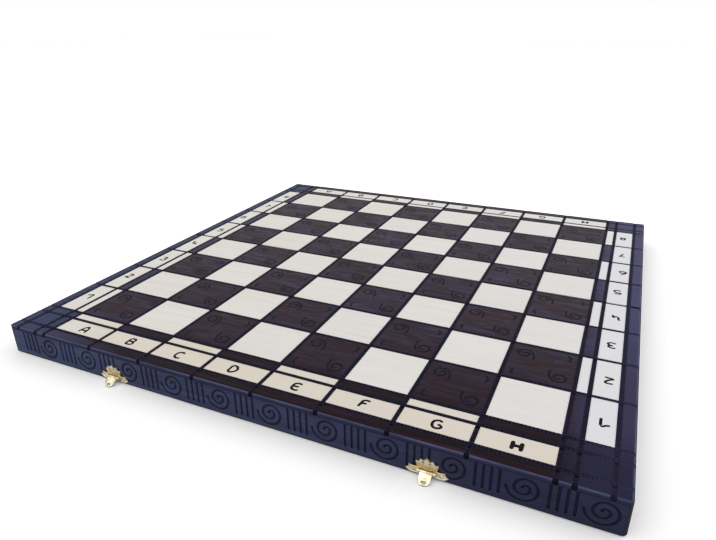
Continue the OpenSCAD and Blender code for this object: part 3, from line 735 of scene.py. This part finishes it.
def scrolls(side_name, side):
    """Burnt scrolls in each dark square, the same again when it is turned half round."""
    random.seed(SCROLL_SEED)
    verts, faces = [], []
    for column in range(-RANKS, RANKS):
        for row in range(0, RANKS) if side > 0 else range(-RANKS, 0):
            if (column + row) % 2:
                continue
            for points, off_x, off_y in SCROLLS:
                for sign in (-1, 1):
                    x = middle_of(column) + sign * off_x
                    y = middle_of(row) + sign * off_y
                    stroke(points, SCROLL_HALF, SCROLL_RISE,
                           lambda u, v, up: (x + sign * u, y + sign * v, TOP_Z + up), verts, faces)
    piece(f"{side_name}_scrolls", verts, faces, SCROLL, f"{side_name}_half")


for side_name, side in SIDES:
    labels(side_name, side)
    scrolls(side_name, side)


# Veins stamped into the latches' fans
LATCH_X = 146.0
PLATE_T = 0.6
FAN_FOOT = 6.5       # height over the plate's foot where its domed fan begins
FAN_MID = 11.35      # height of the dome's middle
FAN_RISE = 2.2
FAN_BALL = 19.51     # radius of the dome
VEIN_SEED = 41
VEINS = (((0.0, 7.2), (0.0, 11.0), (0.0, 15.0)), ((1.0, 7.2), (3.3, 9.8), (4.7, 12.4), (4.5, 14.1)),
         ((2.4, 7.0), (5.4, 8.7), (7.8, 11.0)), ((6.4, 1.5), (10.6, 1.2), (14.8, 2.9)),
         ((6.2, 5.6), (9.4, 5.9), (12.6, 6.3)))
VEIN_HALF = 0.5
VEIN_RISE = 0.35


def fan_out(u, v):
    """How far the latch plate's face stands off the wall, at u beside its middle and v above its foot."""
    dome = FAN_RISE - FAN_BALL + math.sqrt(FAN_BALL ** 2 - u ** 2 - (v - FAN_MID) ** 2)
    return max(PLATE_T, dome) if v > FAN_FOOT else PLATE_T


def veins(name, latch_x):
    """Raised lines on one latch plate, the same on both of its sides."""
    random.seed(VEIN_SEED)
    verts, faces = [], []
    for points in VEINS:
        for sign in (-1, 1) if points[0][0] else (1,):
            line = [(sign * u, v) for u, v in points]
            stroke(line, VEIN_HALF, VEIN_RISE,
                   lambda u, v, up: (latch_x + u, -HALF_L - fan_out(u, v) - up, RIM_Z + v), verts, faces)
    piece(f"{name}_latch_veins", verts, faces, BRASS, "front_half")


veins("left", -LATCH_X)
veins("right", LATCH_X)


# Felt linings
FELT_STEP = 6.0       # size of the felt's mesh cells
FELT_WAVE = 0.18      # how unevenly the felt's face lies
FELT_ROUND = 0.35     # how far the face falls back at its edges
FELT_LIFT = 0.05      # how far the glued side stands off at its edges
FELT_SEED = 5


def felt_lining(side_name, side):
    """A sheet of felt glued in the tray, with rounded edges and a slightly uneven face."""
    low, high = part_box(f"{side_name}_lining")
    x0, x1, y0, y1, z0, z1 = (c / MM for c in (low.x, high.x, low.y, high.y, low.z, high.z))
    nx, ny = round((x1 - x0) / FELT_STEP), round((y1 - y0) / FELT_STEP)
    random.seed(FELT_SEED)
    verts, faces = [], []
    for layer in (0, 1):
        for j in range(ny + 1):
            for i in range(nx + 1):
                x, y = x0 + (x1 - x0) * i / nx, y0 + (y1 - y0) * j / ny
                at_edge = i in (0, nx) or j in (0, ny)
                if layer == 0:
                    z = z0 + (FELT_ROUND if at_edge else random.uniform(0, FELT_WAVE))
                else:
                    z = z1 - (FELT_LIFT if at_edge else 0.0)
                verts.append((x, y, z))
    size = (nx + 1) * (ny + 1)
    for j in range(ny):
        for i in range(nx):
            a = j * (nx + 1) + i
            b, c, d = a + 1, a + nx + 2, a + nx + 1
            faces.append((a, d, c, b))
            faces.append((a + size, b + size, c + size, d + size))
    rim = list(range(nx + 1)) + [j * (nx + 1) + nx for j in range(1, ny + 1)]
    rim += [ny * (nx + 1) + i for i in range(nx - 1, -1, -1)] + [j * (nx + 1) for j in range(ny - 1, 0, -1)]
    for a, b in zip(rim, rim[1:] + rim[:1]):
        faces.append((a, b, b + size, a + size))
    made = piece(f"{side_name}_felt", verts, faces, FELT, f"{side_name}_half")
    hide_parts(f"{side_name}_lining")


for side_name, side in SIDES:
    felt_lining(side_name, side)


# Floor, light and camera
FLOOR_HALF = 6.0
FLOOR_SOLID = 0.95    # the rest of it is clear, which keeps its shadow light
FOLDED_Z = -26.9      # where the back half's top comes to lie when the box is closed


def pale_floor():
    """The finish of a white table."""
    made = bpy.data.materials.new("pale_floor")
    made.use_nodes = True
    nodes_here, links = made.node_tree.nodes, made.node_tree.links
    nodes_here.clear()
    diffuse = nodes_here.new("ShaderNodeBsdfDiffuse")
    clear = nodes_here.new("ShaderNodeBsdfTransparent")
    both = nodes_here.new("ShaderNodeMixShader")
    out = nodes_here.new("ShaderNodeOutputMaterial")
    both.inputs["Fac"].default_value = FLOOR_SOLID
    links.new(clear.outputs["BSDF"], both.inputs[1])
    links.new(diffuse.outputs["BSDF"], both.inputs[2])
    links.new(both.outputs["Shader"], out.inputs["Surface"])
    return made


def floor():
    """The table, of which only the shadow shows."""
    mesh = bpy.data.meshes.new("floor")
    half = FLOOR_HALF
    corners = [(-half, -half, 0), (half, -half, 0), (half, half, 0), (-half, half, 0)]
    mesh.from_pydata(corners, [], [(0, 1, 2, 3)])
    made = bpy.data.objects.new("floor", mesh)
    bpy.context.scene.collection.objects.link(made)
    made.is_shadow_catcher = True
    mesh.materials.append(pale_floor())
    follow_the_fold(made)


def follow_the_fold(table):
    """Lets the table down under the back half where it is folded beneath the front one, and nowhere else."""
    half = nodes["back_panel"].parent
    mark = bpy.data.objects.new("back_top_mark", None)
    bpy.context.scene.collection.objects.link(mark)
    mark.parent = half
    mark.location = (0, 0, TOP_Z * MM)
    rule = table.constraints.new("TRANSFORM")
    rule.target = mark
    rule.map_to_z_from = "Z"
    rule.from_min_z = FOLDED_Z * MM
    rule.from_max_z = TOP_Z * MM
    rule.to_min_z = FOLDED_Z * MM
    rule.to_max_z = 0.0


WORLD_LIGHT = 0.62
WORLD_SEEN = 1.0


def world():
    """Even white light, and a white background for the camera and for what metal and lacquer mirror."""
    made = bpy.data.worlds.new("studio")
    bpy.context.scene.world = made
    made.use_nodes = True
    tree = made.node_tree
    background = tree.nodes["Background"]
    path = tree.nodes.new("ShaderNodeLightPath")
    seen = path.outputs["Is Camera Ray"]
    for ray in ("Is Transmission Ray", "Is Glossy Ray"):
        either = tree.nodes.new("ShaderNodeMath")
        either.operation = "MAXIMUM"
        tree.links.new(seen, either.inputs[0])
        tree.links.new(path.outputs[ray], either.inputs[1])
        seen = either.outputs["Value"]
    strength = tree.nodes.new("ShaderNodeMapRange")
    strength.inputs["To Min"].default_value = WORLD_LIGHT
    strength.inputs["To Max"].default_value = WORLD_SEEN
    tree.links.new(seen, strength.inputs["Value"])
    tree.links.new(strength.outputs["Result"], background.inputs["Strength"])
    background.inputs["Color"].default_value = (1.0, 1.0, 1.0, 1.0)


def lamp(name, place, size, power, colour):
    """A round soft lamp that looks at the middle of the box."""
    data = bpy.data.lights.new(name, "AREA")
    data.color = colour
    data.shape = "DISK"
    data.size = size
    data.energy = power
    made = bpy.data.objects.new(name, data)
    made.location = place
    made.rotation_euler = (-Vector(place)).to_track_quat("-Z", "Y").to_euler()
    bpy.context.scene.collection.objects.link(made)


CAMERA_PLACE = (0.2378, -0.5863, 0.3001)
CAMERA_TURN = (66.396, 0.549, 24.573)    # in degrees, about x, y and z
LENS = 29.47
SENSOR_W = 36.0


def camera():
    """The camera of the photo's view, worked out from the board's corners."""
    data = bpy.data.cameras.new("camera")
    data.sensor_fit = "HORIZONTAL"
    data.sensor_width = SENSOR_W
    data.lens = LENS
    data.clip_start = 0.01
    made = bpy.data.objects.new("camera", data)
    made.location = CAMERA_PLACE
    made.rotation_euler = [math.radians(a) for a in CAMERA_TURN]
    bpy.context.scene.collection.objects.link(made)
    bpy.context.scene.camera = made


floor()
world()
lamp("key", (-0.7, -1.0, 2.4), 2.6, 14, (1.0, 0.985, 0.96))
lamp("fill", (1.4, 1.0, 2.0), 2.6, 12, (0.9, 0.94, 1.0))
camera()
bpy.context.scene.view_settings.view_transform = "Standard"
